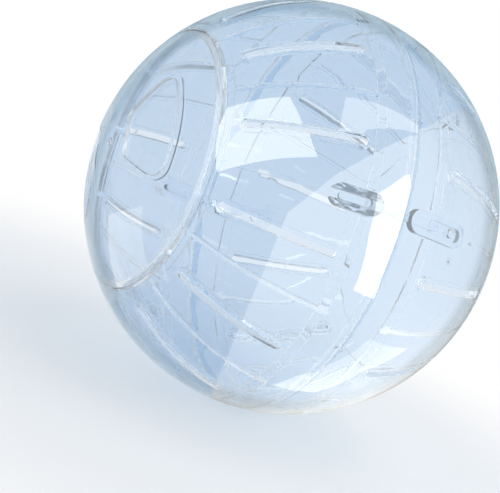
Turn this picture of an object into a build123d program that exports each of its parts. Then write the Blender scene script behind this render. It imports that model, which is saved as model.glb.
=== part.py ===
from build123d import *
from math import cos, degrees, radians, sin, sqrt
import os

# A clear hamster ball: two slotted half shells, a round pole lid and two snap clasps inside the seam.
# The ball's centre is the origin, its polar axis runs along Y and the lid faces -Y.
# Angles are in degrees. They are latitudes, from the seam towards a pole, but those named turn or span
# go round the polar axis, from +X towards +Z.

# Ball, in millimetres
ball_radius = 89.0
wall = 2.0
rib_height = 1.3
weld_share = 0.25
overrun = 6.0

# Ribs and vent slots, one of each to a pitch, alike in both halves
slot_count = 12
slot_width = 3.2
slot_low_angle = 14.5
slot_high_angle = 44.0
lip_width = 1.4
rib_width = 1.6
belt_angle = 8.5
belt_ring_width = 4.0
pole_ring_angle = 48.0
pole_ring_width = 4.6

# Seam, where a lip on the front half stands inside the back half
seam_lip_reach = 2.4
seam_lip_root = 2.0
seam_lip_wall = 1.4
seam_clearance = 0.4
seam_gap = 0.1

# Lid and the ledge that it seats on
mouth_radius = 56.0
lid_clearance = 0.4
seat_gap = 0.1
ledge_width = 2.0
ledge_thickness = 1.2
skirt_clearance = 0.4
skirt_wall = 1.0
skirt_reach = 1.2
rim_round = 0.2

# Finger pockets in the lid
pocket_count = 2
pocket_turn_angle = 33.0
pocket_span_angle = 74.0
pocket_inner_radius = 14.0
pocket_outer_radius = 39.5
pocket_depth = 1.6
pocket_skin = 1.2
pocket_corner = 6.0

# Snap clasps
clasp_count = 2
clasp_turn_angle = 15.0
clasp_zone_angle = 24.0
clasp_zone_margin = 0.8
bond_gap = 0.1
tongue_width = 3.0
tongue_thickness = 2.0
tongue_tip_angle = 16.5
tongue_root_angle = 12.0
slide_clearance = 0.4
foot_width = 9.6
foot_root_share = 0.5
foot_low_angle = 6.2
foot_high_angle = 20.0
foot_border = 2.2
recess_low_angle = 11.0
recess_depth = 1.4
stake_radius = 1.8
stake_clearance = 0.1
stake_angle = 17.5
rail_width = 2.6
rail_low_angle = 8.5
rail_high_angle = 17.0
bridge_angle = 10.0

# Values that follow
inner_radius = ball_radius - wall
rib_tip_radius = inner_radius - rib_height
weld_depth = weld_share * wall
weld_radius = inner_radius + weld_depth
pitch = 360 / slot_count
slot_angles = [pitch * i for i in range(slot_count)]
rib_angles = [angle + pitch / 2 for angle in slot_angles]
clasp_angles = [clasp_turn_angle + 360 / clasp_count * i for i in range(clasp_count)]
clasp_names = ["right", "left"]
seam_face = -seam_gap / 2
tongue_outer = inner_radius - seam_clearance - seam_lip_wall - slide_clearance
tongue_inner = tongue_outer - tongue_thickness
channel_width = tongue_width + 2 * slide_clearance
rail_pair_width = channel_width + 2 * rail_width
lid_radius = mouth_radius - lid_clearance
seat_face = -sqrt(inner_radius**2 - lid_radius**2)
ledge_face = seat_face + seat_gap
ledge_back = ledge_face + ledge_thickness
ledge_inner_radius = mouth_radius - ledge_width
skirt_radius = ledge_inner_radius - skirt_clearance


def along(latitude):
    """Unit direction at a latitude of the front half, on the meridian through +X."""
    return (cos(radians(latitude)), -sin(radians(latitude)), 0)


def turned(piece, angle):
    """The piece, swung round the polar axis from +X towards +Z."""
    return piece.rotate(Axis.Y, -angle)


def wedge(reach, low, high):
    """Sector of the plane through the axis and +X, between two latitudes."""
    with BuildSketch(Plane.XY) as sector:
        with BuildLine():
            rim = CenterArc((0, 0), reach, -high, high - low)
            Polyline(rim @ 1, (0, 0), rim @ 0)
        make_face()
    return sector.sketch


def meridian_bar(inner, outer, low, high, width):
    """Bar with round ends that follows the meridian through +X, between two spheres."""
    reach = outer + overrun
    sector = wedge(reach, low, high)
    with BuildPart() as bar:
        add(sector)
        extrude(amount=width / 2, both=True)
        for latitude in (low, high):
            with Locations(Plane((0, 0, 0), x_dir=(0, 0, 1), z_dir=along(latitude))):
                Cylinder(width / 2, reach, align=(Align.CENTER, Align.CENTER, Align.MIN))
        Sphere(outer, mode=Mode.INTERSECT)
        Sphere(inner, mode=Mode.SUBTRACT)
    return bar.part


def radial_pin(inner, outer, latitude, radius):
    """Round pin that points away from the centre, between two spheres."""
    with BuildPart() as pin:
        with Locations(Plane((0, 0, 0), x_dir=(0, 0, 1), z_dir=along(latitude))):
            Cylinder(radius, outer + overrun, align=(Align.CENTER, Align.CENTER, Align.MIN))
        Sphere(outer, mode=Mode.INTERSECT)
        Sphere(inner, mode=Mode.SUBTRACT)
    return pin.part


def ring_rib(latitude, width):
    """Rib round the inside of the front half, from a latitude towards the pole."""
    sector = wedge(weld_radius, latitude, latitude + degrees(width / inner_radius))
    with BuildPart() as ring:
        with BuildSketch(Plane.XY):
            add(sector)
            Circle(rib_tip_radius, mode=Mode.SUBTRACT)
        revolve(axis=Axis.Y)
    return ring.part


def ribbing():
    """Ribs, rings and slot lips inside the front half, left clear where the clasps lie."""
    rib = meridian_bar(rib_tip_radius, weld_radius, belt_angle, pole_ring_angle, rib_width)
    lip = meridian_bar(
        rib_tip_radius, weld_radius, slot_low_angle, slot_high_angle, slot_width + 2 * lip_width
    )
    clear = meridian_bar(
        rib_tip_radius - overrun, weld_radius, 0, clasp_zone_angle, foot_width + 2 * clasp_zone_margin
    )
    rings = [ring_rib(belt_angle, belt_ring_width), ring_rib(pole_ring_angle, pole_ring_width)]
    with BuildPart() as web:
        add(rings)
        add([turned(rib, angle) for angle in rib_angles])
        add([turned(lip, angle) for angle in slot_angles])
        add([turned(clear, angle) for angle in clasp_angles], mode=Mode.SUBTRACT)
    return web.part


def slotted_half():
    """Closed half shell on the -Y side, with its ribbing and vent slots."""
    slot = meridian_bar(
        rib_tip_radius - overrun, ball_radius + overrun, slot_low_angle, slot_high_angle, slot_width
    )
    quarter = wedge(ball_radius, 0, 90)
    web = ribbing()
    with BuildPart() as half:
        with BuildSketch(Plane.XY):
            add(quarter)
            Circle(inner_radius, mode=Mode.SUBTRACT)
            with Locations((0, seam_face)):
                Rectangle(ball_radius, seam_gap, align=Align.MIN, mode=Mode.SUBTRACT)
        revolve(axis=Axis.Y)
        add(web)
        add([turned(slot, angle) for angle in slot_angles], mode=Mode.SUBTRACT)
    return half.part


# Front half: open at its pole, with the ledge that the lid seats on and a lip inside the seam
closed_half = slotted_half()
lip_outer = inner_radius - seam_clearance
lip_inner = lip_outer - seam_lip_wall
ledge_outer_radius = sqrt(inner_radius**2 - ledge_back**2) + weld_depth
with BuildPart() as front_half:
    add(closed_half)
    with BuildSketch(Plane.XZ.offset(-ledge_face)):
        Circle(mouth_radius)
    extrude(amount=ball_radius, mode=Mode.SUBTRACT)
    with BuildSketch(Plane.XZ.offset(-ledge_face)):
        Circle(ledge_outer_radius)
        Circle(ledge_inner_radius, mode=Mode.SUBTRACT)
    extrude(amount=-ledge_thickness)
    with BuildSketch(Plane.XY):
        with BuildLine():
            Polyline(
                (lip_inner, -seam_lip_root),
                (weld_radius, -seam_lip_root),
                (weld_radius, seam_face),
                (lip_outer, seam_face),
                (lip_outer, seam_lip_reach),
                (lip_inner, seam_lip_reach),
                close=True,
            )
        make_face()
    revolve(axis=Axis.Y)
    fillet(front_half.edges().sort_by(Axis.Y)[0], rim_round)
front_half.part.label = "front_half"

# Back half: the same moulding turned to face it, with a stake for each clasp's foot
foot_outer = inner_radius - bond_gap
foot_inner = tongue_outer - foot_root_share * tongue_thickness
stake = radial_pin(foot_inner, weld_radius, -stake_angle, stake_radius)
with BuildPart() as back_half:
    add(mirror(closed_half, about=Plane.XZ))
    add([turned(stake, angle) for angle in clasp_angles])
back_half.part.label = "back_half"


def pocket_block(inner, outer, grow):
    """Block over one finger pocket's outline, grown sideways, between two spheres."""
    with BuildPart() as block:
        with BuildSketch(Plane.XZ):
            with BuildLine():
                rim = CenterArc((0, 0), pocket_outer_radius, -pocket_span_angle / 2, pocket_span_angle)
                hub = CenterArc((0, 0), pocket_inner_radius, -pocket_span_angle / 2, pocket_span_angle)
                Line(rim @ 0, hub @ 0)
                Line(rim @ 1, hub @ 1)
            outline = make_face()
            fillet(outline.vertices(), pocket_corner)
            if grow > 0:
                offset(amount=grow)
        extrude(amount=ball_radius + overrun)
        Sphere(outer, mode=Mode.INTERSECT)
        Sphere(inner, mode=Mode.SUBTRACT)
    return block.part


# Lid: a cap of the ball with a flat seat, a plug skirt and two finger pockets
pocket_angles = [pocket_turn_angle + 360 / pocket_count * i for i in range(pocket_count)]
pocket_floor = ball_radius - pocket_depth
pocket_wall = pocket_block(pocket_floor - pocket_skin, weld_radius, pocket_skin)
pocket = pocket_block(pocket_floor, ball_radius + overrun, 0)
skirt_inner_radius = skirt_radius - skirt_wall
skirt_root = -sqrt(inner_radius**2 - skirt_inner_radius**2) - weld_depth
skirt_length = ledge_back + skirt_reach - skirt_root
seat_width = lid_radius - skirt_inner_radius
quarter = wedge(ball_radius, 0, 90)
with BuildPart() as lid:
    with BuildSketch(Plane.XY):
        add(quarter)
        Circle(inner_radius, mode=Mode.SUBTRACT)
        with Locations((skirt_inner_radius, skirt_root)):
            Rectangle(seat_width, seat_face - skirt_root, align=Align.MIN)
            Rectangle(skirt_wall, skirt_length, align=Align.MIN)
        Circle(ball_radius, mode=Mode.INTERSECT)
        Rectangle(lid_radius, ball_radius, align=(Align.MIN, Align.MAX), mode=Mode.INTERSECT)
    revolve(axis=Axis.Y)
    add([turned(pocket_wall, angle) for angle in pocket_angles])
    add([turned(pocket, angle) for angle in pocket_angles], mode=Mode.SUBTRACT)
    rim_edges = lid.edges().group_by(SortBy.LENGTH)[-1]
    fillet(rim_edges.sort_by(Axis.Y)[0], rim_round)
lid.part.label = "lid"

# Catch: two rails joined by a bridge, bonded inside the front half beside the seam
channel = meridian_bar(
    tongue_inner - overrun, tongue_outer + slide_clearance, 0, clasp_zone_angle, channel_width
)
split = meridian_bar(tongue_inner - overrun, ball_radius, bridge_angle, clasp_zone_angle, channel_width)
rails = meridian_bar(tongue_inner, foot_outer, rail_low_angle, rail_high_angle, rail_pair_width)
with BuildPart() as catch:
    add(rails)
    add([channel, split], mode=Mode.SUBTRACT)

# Tongue: a recessed foot staked inside the back half, with a strip that reaches into the catch
stake_hole = radial_pin(foot_inner - overrun, ball_radius, -stake_angle, stake_radius + stake_clearance)
foot = meridian_bar(foot_inner, foot_outer, -foot_high_angle, -foot_low_angle, foot_width)
recess = meridian_bar(
    foot_inner - overrun,
    foot_inner + recess_depth,
    -foot_high_angle,
    -recess_low_angle,
    foot_width - 2 * foot_border,
)
strip = meridian_bar(tongue_inner, tongue_outer, -tongue_root_angle, tongue_tip_angle, tongue_width)
with BuildPart() as tongue:
    add(foot)
    add(recess, mode=Mode.SUBTRACT)
    add(strip)
    add(stake_hole, mode=Mode.SUBTRACT)

os.makedirs("parts", exist_ok=True)
export_step(front_half.part, "parts/front_half.step")
export_step(back_half.part, "parts/back_half.step")
export_step(lid.part, "parts/lid.step")
for name, angle in zip(clasp_names, clasp_angles):
    for kind, piece in (("catch", catch.part), ("tongue", tongue.part)):
        placed = turned(piece, angle)
        placed.label = f"{kind}_{name}"
        export_step(placed, f"parts/{kind}_{name}.step")
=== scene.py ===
import math

import bpy
from mathutils import Matrix, Vector


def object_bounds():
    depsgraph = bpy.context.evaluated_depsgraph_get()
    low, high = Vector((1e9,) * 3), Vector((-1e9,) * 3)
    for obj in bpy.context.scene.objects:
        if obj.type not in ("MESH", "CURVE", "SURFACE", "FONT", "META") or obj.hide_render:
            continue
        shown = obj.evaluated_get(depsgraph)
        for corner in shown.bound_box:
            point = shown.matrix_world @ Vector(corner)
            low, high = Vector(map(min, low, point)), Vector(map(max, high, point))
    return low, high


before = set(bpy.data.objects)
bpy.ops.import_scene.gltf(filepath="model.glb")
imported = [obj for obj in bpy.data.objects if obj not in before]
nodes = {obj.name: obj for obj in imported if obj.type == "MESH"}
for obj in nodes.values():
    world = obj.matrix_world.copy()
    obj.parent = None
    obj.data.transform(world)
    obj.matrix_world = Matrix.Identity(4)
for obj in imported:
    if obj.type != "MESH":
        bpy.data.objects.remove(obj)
cad_low, cad_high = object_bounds()

# Front half
# The open half of the ball, injection moulded in clear polystyrene with a faint blue cast.
# Its vent slots, ribs and rings are moulded in, and the clasps' catches are bonded inside its seam.
shell_tint = (0.74, 0.83, 0.925, 1.0)
shell_edge_tint = (0.36, 0.48, 0.56, 1.0)
# Pale satin tint of the shell's sides; on up-facing long sides and rib crowns it also paints highlight
shell_side_tint = (0.96, 0.98, 1.0, 1.0)
side_satin = 0.4
ball_radius = cad_high.y
skin_depth = 0.0003
rib_tip_depth = 0.0033
rib_tip_radius = ball_radius - rib_tip_depth
rib_count = 12
rib_wave_limit = -0.97
polystyrene_ior = 1.59
lamp_share = (0.95, 0.96, 0.97, 1.0)


def place(tree, kind, inputs=None, **settings):
    """A new node of that kind in the tree, with its settings, constant inputs and incoming links."""
    made = tree.nodes.new(kind)
    for name, value in settings.items():
        setattr(made, name, value)
    for name, value in (inputs or {}).items():
        if isinstance(value, bpy.types.NodeSocket):
            tree.links.new(value, made.inputs[name])
        else:
            made.inputs[name].default_value = value
    return made


def moulding_marks_group():
    """Shader group for clear mouldings: scratches and haze as roughness, faint flow ripples as height."""
    group = bpy.data.node_groups.new("moulding_marks", "ShaderNodeTree")
    face = group.interface
    for name, value in (("Polish", 0.02), ("Haze", 0.05), ("Scratches", 0.1)):
        face.new_socket(name, in_out="INPUT", socket_type="NodeSocketFloat").default_value = value
    for name in ("Roughness", "Height"):
        face.new_socket(name, in_out="OUTPUT", socket_type="NodeSocketFloat")
    given = place(group, "NodeGroupInput")
    where = place(group, "ShaderNodeTexCoord").outputs["Object"]

    # Haze from handling lies in soft patches
    patches = place(group, "ShaderNodeTexNoise", {"Vector": where, "Scale": 28.0, "Detail": 3.0})
    patch_mask = place(
        group, "ShaderNodeMapRange", {"Value": patches.outputs["Fac"], "From Min": 0.45, "From Max": 0.75}
    )
    haze = place(
        group, "ShaderNodeMath", {0: patch_mask.outputs[0], 1: given.outputs["Haze"]}, operation="MULTIPLY"
    )

    # Hairlines are noise drawn out along two slanted directions
    slants = (
        ((0.4, 0.9, 0.2), (900.0, 14.0, 260.0)),
        ((1.1, 0.3, 1.9), (240.0, 1100.0, 12.0)),
    )
    hairlines = []
    for turn, stretch in slants:
        drawn = place(group, "ShaderNodeMapping", {"Vector": where, "Rotation": turn, "Scale": stretch})
        noise = place(group, "ShaderNodeTexNoise", {"Vector": drawn.outputs[0], "Scale": 1.0, "Detail": 1.0})
        line = place(
            group, "ShaderNodeMapRange", {"Value": noise.outputs["Fac"], "From Min": 0.70, "From Max": 0.78}
        )
        hairlines.append(line.outputs[0])
    either = place(group, "ShaderNodeMath", {0: hairlines[0], 1: hairlines[1]}, operation="MAXIMUM")
    scratches = place(
        group, "ShaderNodeMath", {0: either.outputs[0], 1: given.outputs["Scratches"]}, operation="MULTIPLY"
    )

    worn = place(group, "ShaderNodeMath", {0: haze.outputs[0], 1: scratches.outputs[0]}, operation="ADD")
    rough = place(group, "ShaderNodeMath", {0: worn.outputs[0], 1: given.outputs["Polish"]}, operation="ADD")

    # Flow ripples are slow waves left as the plastic filled the mould
    ripples = place(
        group, "ShaderNodeTexNoise", {"Vector": where, "Scale": 16.0, "Detail": 1.0, "Distortion": 0.6}
    )
    out = place(group, "NodeGroupOutput")
    group.links.new(rough.outputs[0], out.inputs["Roughness"])
    group.links.new(ripples.outputs["Fac"], out.inputs["Height"])
    return group


moulding_marks = moulding_marks_group()


def rim_mask(tree):
    """1 where the outside of the ball is seen edge on, and 0 elsewhere."""
    facing = place(tree, "ShaderNodeLayerWeight", {"Blend": 0.5})
    edge_on = place(
        tree, "ShaderNodeMapRange", {"Value": facing.outputs["Facing"], "From Min": 0.60, "From Max": 0.69}
    )
    where = place(tree, "ShaderNodeTexCoord").outputs["Object"]
    radius = place(tree, "ShaderNodeVectorMath", {0: where}, operation="LENGTH")
    outside = place(
        tree,
        "ShaderNodeMath",
        {0: radius.outputs["Value"], 1: ball_radius - skin_depth},
        operation="GREATER_THAN",
    )
    return place(
        tree, "ShaderNodeMath", {0: edge_on.outputs[0], 1: outside.outputs[0]}, operation="MULTIPLY"
    ).outputs[0]


def upright_sides_group():
    """Shader group with a mask: 1 on sides that stand along the ball's radius, and 0 on a piece's faces."""
    group = bpy.data.node_groups.new("upright_sides", "ShaderNodeTree")
    group.interface.new_socket("Mask", in_out="OUTPUT", socket_type="NodeSocketFloat")
    shape = place(group, "ShaderNodeNewGeometry")
    where = place(group, "ShaderNodeTexCoord").outputs["Object"]
    outward = place(group, "ShaderNodeVectorMath", {0: where}, operation="NORMALIZE")
    facing = place(
        group,
        "ShaderNodeVectorMath",
        {0: shape.outputs["True Normal"], 1: outward.outputs["Vector"]},
        operation="DOT_PRODUCT",
    )
    size = place(group, "ShaderNodeMath", {0: facing.outputs["Value"]}, operation="ABSOLUTE")
    mask = place(group, "ShaderNodeMapRange", {"Value": size.outputs[0], "From Min": 0.9, "From Max": 0.3})
    out = place(group, "NodeGroupOutput")
    group.links.new(mask.outputs[0], out.inputs["Mask"])
    return group


upright_sides = upright_sides_group()


def side_mask(tree):
    """1 on the upright sides of a piece, and 0 on its faces."""
    return place(tree, "ShaderNodeGroup", node_tree=upright_sides).outputs["Mask"]


def satin_and_highlight_mask(tree):
    """1 on the sides of a half's seam and rings, and on slot sides, rib sides and rib crowns that face up.

    Up-facing slot sides, rib sides and rib crowns are painted highlight from light above. The ribs lie midway
    between slots.
    """
    shape = place(tree, "ShaderNodeNewGeometry")
    where = place(tree, "ShaderNodeTexCoord").outputs["Object"]
    radius = place(tree, "ShaderNodeVectorMath", {0: where}, operation="LENGTH")
    at_tip = place(
        tree,
        "ShaderNodeMath",
        {0: radius.outputs["Value"], 1: rib_tip_radius, 2: skin_depth},
        operation="COMPARE",
    )
    along = place(tree, "ShaderNodeSeparateXYZ", {0: where})
    turn = place(tree, "ShaderNodeMath", {0: along.outputs["Z"], 1: along.outputs["X"]}, operation="ARCTAN2")
    wave = place(tree, "ShaderNodeMath", {0: turn.outputs[0], 1: rib_count}, operation="MULTIPLY")
    between = place(tree, "ShaderNodeMath", {0: wave.outputs[0]}, operation="COSINE")
    on_rib = place(
        tree, "ShaderNodeMath", {0: between.outputs[0], 1: rib_wave_limit}, operation="LESS_THAN"
    )
    crown = place(
        tree, "ShaderNodeMath", {0: at_tip.outputs[0], 1: on_rib.outputs[0]}, operation="MULTIPLY"
    )

    # Long sides of slots and ribs face round the ball's axis
    round_axis = place(
        tree, "ShaderNodeVectorMath", {0: where, 1: (0.0, 1.0, 0.0)}, operation="CROSS_PRODUCT"
    )
    heading = place(tree, "ShaderNodeVectorMath", {0: round_axis.outputs["Vector"]}, operation="NORMALIZE")
    facing = place(
        tree,
        "ShaderNodeVectorMath",
        {0: shape.outputs["True Normal"], 1: heading.outputs["Vector"]},
        operation="DOT_PRODUCT",
    )
    size = place(tree, "ShaderNodeMath", {0: facing.outputs["Value"]}, operation="ABSOLUTE")
    long_side = place(
        tree, "ShaderNodeMapRange", {"Value": size.outputs[0], "From Min": 0.5, "From Max": 0.8}
    )

    # The normal turns round where a face is seen from within the plastic
    height = place(tree, "ShaderNodeSeparateXYZ", {0: shape.outputs["True Normal"]}).outputs["Z"]
    turned = place(tree, "ShaderNodeMath", {0: height, 1: -1.0}, operation="MULTIPLY")
    upward = place(
        tree, "ShaderNodeMix", {"Factor": shape.outputs["Backfacing"], "A": height, "B": turned.outputs[0]}
    )
    faces_up = place(
        tree, "ShaderNodeMapRange", {"Value": upward.outputs["Result"], "From Min": 0.0, "From Max": 0.22}
    )

    # Long sides and crowns take the pale satin only where they face up, as painted highlight from above
    picked = place(tree, "ShaderNodeMath", {0: side_mask(tree), 1: crown.outputs[0]}, operation="MAXIMUM")
    up_only = place(
        tree, "ShaderNodeMath", {0: long_side.outputs[0], 1: crown.outputs[0]}, operation="MAXIMUM"
    )
    any_way = place(tree, "ShaderNodeMath", {0: 1.0, 1: up_only.outputs[0]}, operation="SUBTRACT")
    share = place(
        tree, "ShaderNodeMath", {0: any_way.outputs[0], 1: faces_up.outputs[0]}, operation="MAXIMUM"
    )
    return place(
        tree, "ShaderNodeMath", {0: picked.outputs[0], 1: share.outputs[0]}, operation="MULTIPLY"
    ).outputs[0]


def clear_plastic(
    name, tint, tint_layers, satin_mask, satin_tint_and_painted_light, satin_roughness, polish, haze, scratches, ripple
):
    """Clear moulded plastic that lets lamplight through.

    Each tint layer is a mask and the tint that shows where the mask gives 1. Over them, the satin tint and
    roughness show where satin_mask gives 1. On the shell's up-facing sides that tint is painted highlight,
    and on the right catch and the tongues it is painted shade.
    """
    material = bpy.data.materials.new(name)
    material.use_nodes = True
    tree = material.node_tree
    tree.nodes.clear()
    marks = place(
        tree,
        "ShaderNodeGroup",
        {"Polish": polish, "Haze": haze, "Scratches": scratches},
        node_tree=moulding_marks,
    )
    bump = place(
        tree, "ShaderNodeBump", {"Height": marks.outputs["Height"], "Strength": ripple, "Distance": 0.002}
    )
    satin = satin_mask(tree)
    layers = [(mask(tree), layer_tint) for mask, layer_tint in tint_layers]
    layers.append((satin, satin_tint_and_painted_light))
    colour = tint
    for share, layer_tint in layers:
        colour = place(
            tree, "ShaderNodeMix", {"Factor": share, "A": colour, "B": layer_tint}, data_type="RGBA"
        ).outputs["Result"]
    roughness = place(
        tree, "ShaderNodeMix", {"Factor": satin, "A": marks.outputs["Roughness"], "B": satin_roughness}
    )
    shader = place(
        tree,
        "ShaderNodeBsdfPrincipled",
        {
            "Base Color": colour,
            "Roughness": roughness.outputs["Result"],
            "IOR": polystyrene_ior,
            "Transmission Weight": 1.0,
            "Normal": bump.outputs["Normal"],
        },
    )
    through = place(tree, "ShaderNodeBsdfTransparent", {"Color": lamp_share})
    light = place(tree, "ShaderNodeLightPath")
    mixed = place(tree, "ShaderNodeMixShader", {"Fac": light.outputs["Is Shadow Ray"]})
    tree.links.new(shader.outputs[0], mixed.inputs[1])
    tree.links.new(through.outputs[0], mixed.inputs[2])
    out = place(tree, "ShaderNodeOutputMaterial")
    tree.links.new(mixed.outputs[0], out.inputs["Surface"])
    return material


def dress(node, material):
    """The CAD node shows that material."""
    piece = nodes[node]
    piece.data.materials.clear()
    piece.data.materials.append(material)


shell_plastic = clear_plastic(
    "clear_shell_plastic",
    shell_tint,
    [(rim_mask, shell_edge_tint)],
    satin_and_highlight_mask,
    shell_side_tint,
    side_satin,
    polish=0.015,
    haze=0.03,
    scratches=0.12,
    ripple=0.08,
)
dress("front_half", shell_plastic)

# Back half
# The closed half, of the same clear plastic and much the same mould, pushed over the front half's seam lip.
# Stakes moulded inside it hold the feet of the clasps' tongues.
dress("back_half", shell_plastic)

# Lid
# A round cap of clear plastic with two shallow finger pockets, pressed into the front half's mouth.
# Its skirt grips the inside of the ledge, and it is pulled out by the pockets.
lid_tint = (0.755, 0.835, 0.925, 1.0)
lid_side_tint = (0.82, 0.89, 0.96, 1.0)
lid_plastic = clear_plastic(
    "clear_lid_plastic",
    lid_tint,
    [(rim_mask, shell_edge_tint)],
    side_mask,
    lid_side_tint,
    side_satin,
    polish=0.018,
    haze=0.05,
    scratches=0.2,
    ripple=0.1,
)
dress("lid", lid_plastic)

# Right catch
# A small fork of clear plastic, two rails on a bridge, bonded inside the front half beside the seam.
# A tongue slides in between the rails and snaps. Dark streaks of painted shade lie on the deep rails,
# and its sides are painted near black as shade.
clasp_tint = (0.93, 0.96, 0.99, 1.0)
# Near-black painted shade for the rails' deep faces and the catch's sides
rail_shade_tint = (0.01, 0.04, 0.06, 1.0)
rail_shade_radii = (0.0858, 0.0846)
clasp_side_polish = 0.08
clasp_wear = {"polish": 0.03, "haze": 0.05, "scratches": 0.2, "ripple": 0.3}


def rail_shade_mask(tree):
    """1 in long streaks of painted shade on the deep inner faces of the rails, rising deeper in, and 0
    elsewhere.
    """
    where = place(tree, "ShaderNodeTexCoord").outputs["Object"]
    radius = place(tree, "ShaderNodeVectorMath", {0: where}, operation="LENGTH")
    deep = place(
        tree,
        "ShaderNodeMapRange",
        {"Value": radius.outputs["Value"], "From Min": rail_shade_radii[0], "From Max": rail_shade_radii[1]},
    )
    drawn = place(tree, "ShaderNodeMapping", {"Vector": where, "Scale": (700.0, 160.0, 700.0)})
    noise = place(
        tree,
        "ShaderNodeTexNoise",
        {"Vector": drawn.outputs[0], "Scale": 1.0, "Detail": 2.0, "Distortion": 1.0},
    )
    streak = place(
        tree, "ShaderNodeMapRange", {"Value": noise.outputs["Fac"], "From Min": 0.32, "From Max": 0.52}
    )
    return place(
        tree, "ShaderNodeMath", {0: deep.outputs[0], 1: streak.outputs[0]}, operation="MULTIPLY"
    ).outputs[0]


catch_plastic = clear_plastic(
    "catch_plastic_painted_shade",
    clasp_tint,
    [(rail_shade_mask, rail_shade_tint)],
    side_mask,
    rail_shade_tint,
    clasp_side_polish,
    **clasp_wear,
)
dress("catch_right", catch_plastic)

# Left catch
# The same fork on the far side, bonded and clipped in the same way, in the same plastic without the painted
# shade.
# Its sides only show as pale satin lines.
unshaded_catch_plastic = clear_plastic(
    "unshaded_catch_plastic",
    clasp_tint,
    [],
    side_mask,
    shell_side_tint,
    side_satin,
    **clasp_wear,
)
dress("catch_left", unshaded_catch_plastic)

# Tongues
# Thin strips of the same clear plastic, each with a long round-ended foot staked inside the back half.
# They reach past the seam into the catches and hold the halves together.
# Their upright sides are painted dark as shade
tongue_edge_shade = (0.08, 0.13, 0.17, 1.0)
tongue_plastic = clear_plastic(
    "clear_tongue_plastic",
    clasp_tint,
    [],
    side_mask,
    tongue_edge_shade,
    clasp_side_polish,
    **clasp_wear,
)
for side in ("right", "left"):
    dress(f"tongue_{side}", tongue_plastic)

# Floor
# A plain pale sheet that the ball rests on. Close to the ball it takes the shadow, and further off it runs
# into the white of the room without a line.
floor_half_side = 2.0
floor_colour = (0.90, 0.91, 0.92, 1.0)
floor_gloss = (0.56, 0.65, 0.74, 1.0)
shadow_reach = (0.10, 0.34)


def looks(tree):
    """Two masks: rays that look at the room, and those of them that only look off a gloss outside."""
    light = place(tree, "ShaderNodeLightPath")
    through = place(
        tree,
        "ShaderNodeMath",
        {0: light.outputs["Is Camera Ray"], 1: light.outputs["Is Transmission Ray"]},
        operation="MAXIMUM",
    )
    every = place(
        tree,
        "ShaderNodeMath",
        {0: through.outputs[0], 1: light.outputs["Is Glossy Ray"]},
        operation="MAXIMUM",
    )
    gloss = place(tree, "ShaderNodeMath", {0: every.outputs[0], 1: through.outputs[0]}, operation="SUBTRACT")
    return every.outputs[0], gloss.outputs[0]


floor_mesh = bpy.data.meshes.new("floor")
corners = [(floor_half_side * x, floor_half_side * y, 0) for x, y in ((-1, -1), (1, -1), (1, 1), (-1, 1))]
floor_mesh.from_pydata(corners, [], [(0, 1, 2, 3)])
floor = bpy.data.objects.new("floor", floor_mesh)
bpy.context.scene.collection.objects.link(floor)
floor.location.z = cad_low.z

floor_sheet = bpy.data.materials.new("pale_floor_sheet")
floor_sheet.use_nodes = True
tree = floor_sheet.node_tree
tree.nodes.clear()
where = place(tree, "ShaderNodeTexCoord").outputs["Object"]
distance = place(tree, "ShaderNodeVectorMath", {0: where}, operation="LENGTH")
far = place(
    tree,
    "ShaderNodeMapRange",
    {"Value": distance.outputs["Value"], "From Min": shadow_reach[0], "From Max": shadow_reach[1]},
    interpolation_type="SMOOTHERSTEP",
)
fibres = place(tree, "ShaderNodeTexNoise", {"Vector": where, "Scale": 300.0, "Detail": 4.0})
tooth = place(tree, "ShaderNodeBump", {"Height": fibres.outputs["Fac"], "Strength": 0.05, "Distance": 0.001})
sheet = place(
    tree,
    "ShaderNodeBsdfPrincipled",
    {
        "Base Color": floor_colour,
        "Roughness": 0.8,
        "Specular IOR Level": 0.0,
        "Normal": tooth.outputs["Normal"],
    },
)
looked_at, in_gloss = looks(tree)
far_colour = place(
    tree,
    "ShaderNodeMix",
    {"Factor": in_gloss, "A": (1.0, 1.0, 1.0, 1.0), "B": floor_gloss},
    data_type="RGBA",
)
white = place(tree, "ShaderNodeEmission", {"Color": far_colour.outputs["Result"], "Strength": 1.0})
share = place(tree, "ShaderNodeMath", {0: far.outputs[0], 1: looked_at}, operation="MULTIPLY")
mixed = place(tree, "ShaderNodeMixShader", {"Fac": share.outputs[0]})
tree.links.new(sheet.outputs[0], mixed.inputs[1])
tree.links.new(white.outputs[0], mixed.inputs[2])
out = place(tree, "ShaderNodeOutputMaterial")
tree.links.new(mixed.outputs[0], out.inputs["Surface"])
floor_mesh.materials.append(floor_sheet)

# Room
# The white room round the floor. It is white where it is looked at, and the plastic shows a duller ceiling
# through it and blue-grey walls in its gloss.
room_light = (0.93, 0.96, 1.0, 1.0)
ceiling_colour = (0.84, 0.90, 0.96, 1.0)
wall_gloss = (0.38, 0.51, 0.61, 1.0)
world = bpy.data.worlds.new("room")
bpy.context.scene.world = world
world.use_nodes = True
tree = world.node_tree
tree.nodes.clear()
direction = place(tree, "ShaderNodeTexCoord").outputs["Generated"]
height = place(tree, "ShaderNodeSeparateXYZ", {0: direction}).outputs["Z"]
above = place(
    tree,
    "ShaderNodeMapRange",
    {"Value": height, "From Min": 0.25, "From Max": 0.75},
    interpolation_type="SMOOTHSTEP",
)
camera_ray = place(tree, "ShaderNodeLightPath").outputs["Is Camera Ray"]
not_camera = place(tree, "ShaderNodeMath", {0: 1.0, 1: camera_ray}, operation="SUBTRACT")
ceiling_share = place(
    tree, "ShaderNodeMath", {0: above.outputs[0], 1: not_camera.outputs[0]}, operation="MULTIPLY"
)
room_colour = place(
    tree,
    "ShaderNodeMix",
    {"Factor": ceiling_share.outputs[0], "A": (1.0, 1.0, 1.0, 1.0), "B": ceiling_colour},
    data_type="RGBA",
)
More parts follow.
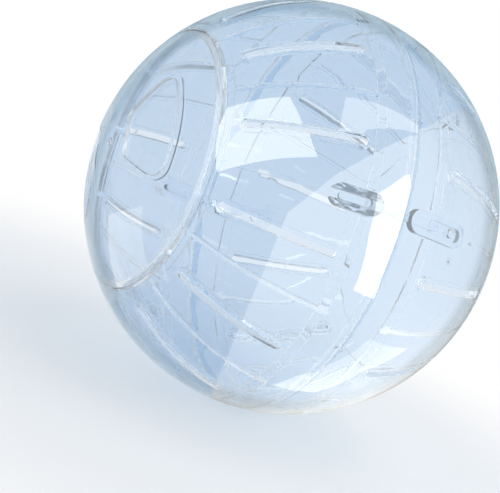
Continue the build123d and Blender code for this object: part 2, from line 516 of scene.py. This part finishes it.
looked_at, in_gloss = looks(tree)
seen_colour = place(
    tree,
    "ShaderNodeMix",
    {"Factor": in_gloss, "A": room_colour.outputs["Result"], "B": wall_gloss},
    data_type="RGBA",
)
seen = place(tree, "ShaderNodeBackground", {"Color": seen_colour.outputs["Result"], "Strength": 1.0})
ambient = place(tree, "ShaderNodeBackground", {"Color": room_light, "Strength": 0.7})
mixed = place(tree, "ShaderNodeMixShader", {"Fac": looked_at})
tree.links.new(ambient.outputs[0], mixed.inputs[1])
tree.links.new(seen.outputs[0], mixed.inputs[2])
out = place(tree, "ShaderNodeOutputWorld")
tree.links.new(mixed.outputs[0], out.inputs["Surface"])

# Windows and light panels
# Flat panels of soft white light round the ball, and pale cards on the floor beside it, which its gloss shows
# as window shapes. Each is given by its corners in metres.
window_white = (1.0, 0.95, 0.87, 1.0)
card_step = 0.0005
card_height = cad_low.z + card_step
bright_side = (0.88, -0.47, 0.0)


def light_panel(name, outlines, strength, dim_strength=None):
    """Flat glowing panels that only gloss sees, one to an outline. A corner without height lies on the floor.

    A dim strength is the glow on the side of the room away from the bright side. It also dims the floor under
    the ball.
    """
    points = []
    faces = []
    for outline in outlines:
        faces.append(tuple(range(len(points), len(points) + len(outline))))
        points += [corner if len(corner) == 3 else (*corner, card_height) for corner in outline]
    mesh = bpy.data.meshes.new(name)
    mesh.from_pydata(points, [], faces)
    panel = bpy.data.objects.new(name, mesh)
    bpy.context.scene.collection.objects.link(panel)
    panel.visible_camera = False
    panel.visible_diffuse = False
    panel.visible_transmission = False
    panel.visible_shadow = False
    glow = bpy.data.materials.new(name)
    glow.use_nodes = True
    tree = glow.node_tree
    tree.nodes.clear()
    lit = place(tree, "ShaderNodeEmission", {"Color": window_white, "Strength": strength})
    if dim_strength is not None:
        where = place(tree, "ShaderNodeTexCoord").outputs["Object"]
        level = place(tree, "ShaderNodeVectorMath", {0: where, 1: (1.0, 1.0, 0.0)}, operation="MULTIPLY")
        heading = place(tree, "ShaderNodeVectorMath", {0: level.outputs["Vector"]}, operation="NORMALIZE")
        facing = place(
            tree,
            "ShaderNodeVectorMath",
            {0: heading.outputs["Vector"], 1: bright_side},
            operation="DOT_PRODUCT",
        )
        fade = place(
            tree,
            "ShaderNodeMapRange",
            {
                "Value": facing.outputs["Value"],
                "From Min": -0.9,
                "From Max": 0.25,
                "To Min": dim_strength,
                "To Max": strength,
            },
        )
        reach = place(tree, "ShaderNodeVectorMath", {0: level.outputs["Vector"]}, operation="LENGTH")
        near = place(
            tree,
            "ShaderNodeMapRange",
            {"Value": reach.outputs["Value"], "From Min": 0.015, "From Max": 0.09, "To Min": 0.15},
        )
        glow_level = place(
            tree, "ShaderNodeMath", {0: fade.outputs[0], 1: near.outputs[0]}, operation="MULTIPLY"
        )
        tree.links.new(glow_level.outputs[0], lit.inputs["Strength"])
    out = place(tree, "ShaderNodeOutputMaterial")
    tree.links.new(lit.outputs[0], out.inputs["Surface"])
    mesh.materials.append(glow)


light_panel(
    "left_window",
    [[(0.02, -0.83, 0.56), (0.23, -0.51, 0.83), (0.74, -0.35, 0.57), (0.34, -0.93, 0.11)]],
    strength=5.6,
)
light_panel(
    "right_window",
    [[(0.30, -0.10, 0.95), (0.28, 0.45, 0.85), (0.34, 0.48, 0.81), (0.61, -0.20, 0.77)]],
    strength=3.3,
)
light_panel(
    "side_wall",
    [
        [(0.87, -0.48, 0.06), (0.84, -0.17, 0.51), (1.02, 0.10), (0.92, -0.50)],
        [(0.84, -0.17, 0.51), (0.67, 0.15, 0.73), (0.33, 0.49, 0.81), (0.70, 0.75), (1.02, 0.10)],
        [(0.33, 0.49, 0.81), (-0.58, 0.79, 0.45), (-0.60, 0.90), (0.70, 0.75)],
        [(0.013, -0.007), (0.92, -0.50), (1.02, 0.10), (0.70, 0.75), (-0.60, 0.90), (-0.010, 0.014)],
    ],
    strength=3.0,
    dim_strength=0.3,
)
light_panel(
    "seam_strip",
    [
        [(0.34, 0.20, 0.30), (0.44, 0.09, 0.22), (0.48, 0.10, 0.08), (0.43, 0.23, 0.11), (0.40, 0.22, 0.21)],
        [(0.48, 0.10, 0.08), (0.28, 0.07), (0.25, 0.13), (0.44, 0.23, 0.02), (0.43, 0.23, 0.11)],
    ],
    strength=9.2,
)
low_card_corners = [
    (0.06, 0.00),
    (0.06, 0.03),
    (0.08, 0.07),
    (0.08, 0.15),
    (0.13, 0.08),
    (0.09, 0.03),
    (0.075, 0.01),
]
light_panel("low_card", [[(*corner, card_height + card_step) for corner in low_card_corners]], strength=4.6)
light_panel("lid_card", [[(-0.09, -0.16), (-0.03, -0.25), (0.02, -0.12), (-0.02, -0.08)]], strength=2.1)

# Key lamp
# A broad softbox high over the ball that lays a soft shadow under it. The plastic doesn't show it, because
# the photographed ball shows no such round light.
key = bpy.data.objects.new("key_softbox", bpy.data.lights.new("key_softbox", "AREA"))
key.data.shape = "DISK"
key.data.size = 0.9
key.data.energy = 6.0
key.location = (0.2, 0.3, 1.3)
key.visible_glossy = False
key.visible_transmission = False
key.rotation_euler = (Vector((0, 0, 0)) - key.location).to_track_quat("-Z", "Y").to_euler()
bpy.context.scene.collection.objects.link(key)

# Camera
# A long lens level with the ball, at the side of the lid and tilted over, with the ball above and right of
# the middle of the picture.
picture_width = 500.0
view_azimuth = math.radians(61.7)
view_height = math.radians(6.6)
view_tilt = math.radians(23.04)
view_distance = 0.643
focal_pixels = 1486.0
ball_right = 40.8
ball_above = 39.3
back = Vector(
    (
        math.sin(view_azimuth) * math.cos(view_height),
        -math.cos(view_azimuth) * math.cos(view_height),
        math.sin(view_height),
    )
)
level_right = Vector((math.cos(view_azimuth), math.sin(view_azimuth), 0))
level_up = back.cross(level_right)
right = math.cos(view_tilt) * level_right + math.sin(view_tilt) * level_up
up = math.cos(view_tilt) * level_up - math.sin(view_tilt) * level_right
straight = Matrix((right, up, back)).transposed()
to_ball = Vector((ball_right, ball_above, -focal_pixels)).normalized()
aside = to_ball.rotation_difference(Vector((0, 0, -1))).to_matrix()

camera = bpy.data.objects.new("camera", bpy.data.cameras.new("camera"))
camera.data.sensor_width = 36.0
camera.data.lens = camera.data.sensor_width * focal_pixels / picture_width
camera.data.clip_start = 0.01
camera.matrix_world = Matrix.Translation(back * view_distance) @ (straight @ aside).to_4x4()
bpy.context.scene.collection.objects.link(camera)
bpy.context.scene.camera = camera

# Colours are shown as they are, and light may pass through every wall of the ball
bpy.context.scene.view_settings.view_transform = "Standard"
bpy.context.scene.cycles.max_bounces = 32
bpy.context.scene.cycles.transmission_bounces = 32
bpy.context.scene.cycles.glossy_bounces = 16
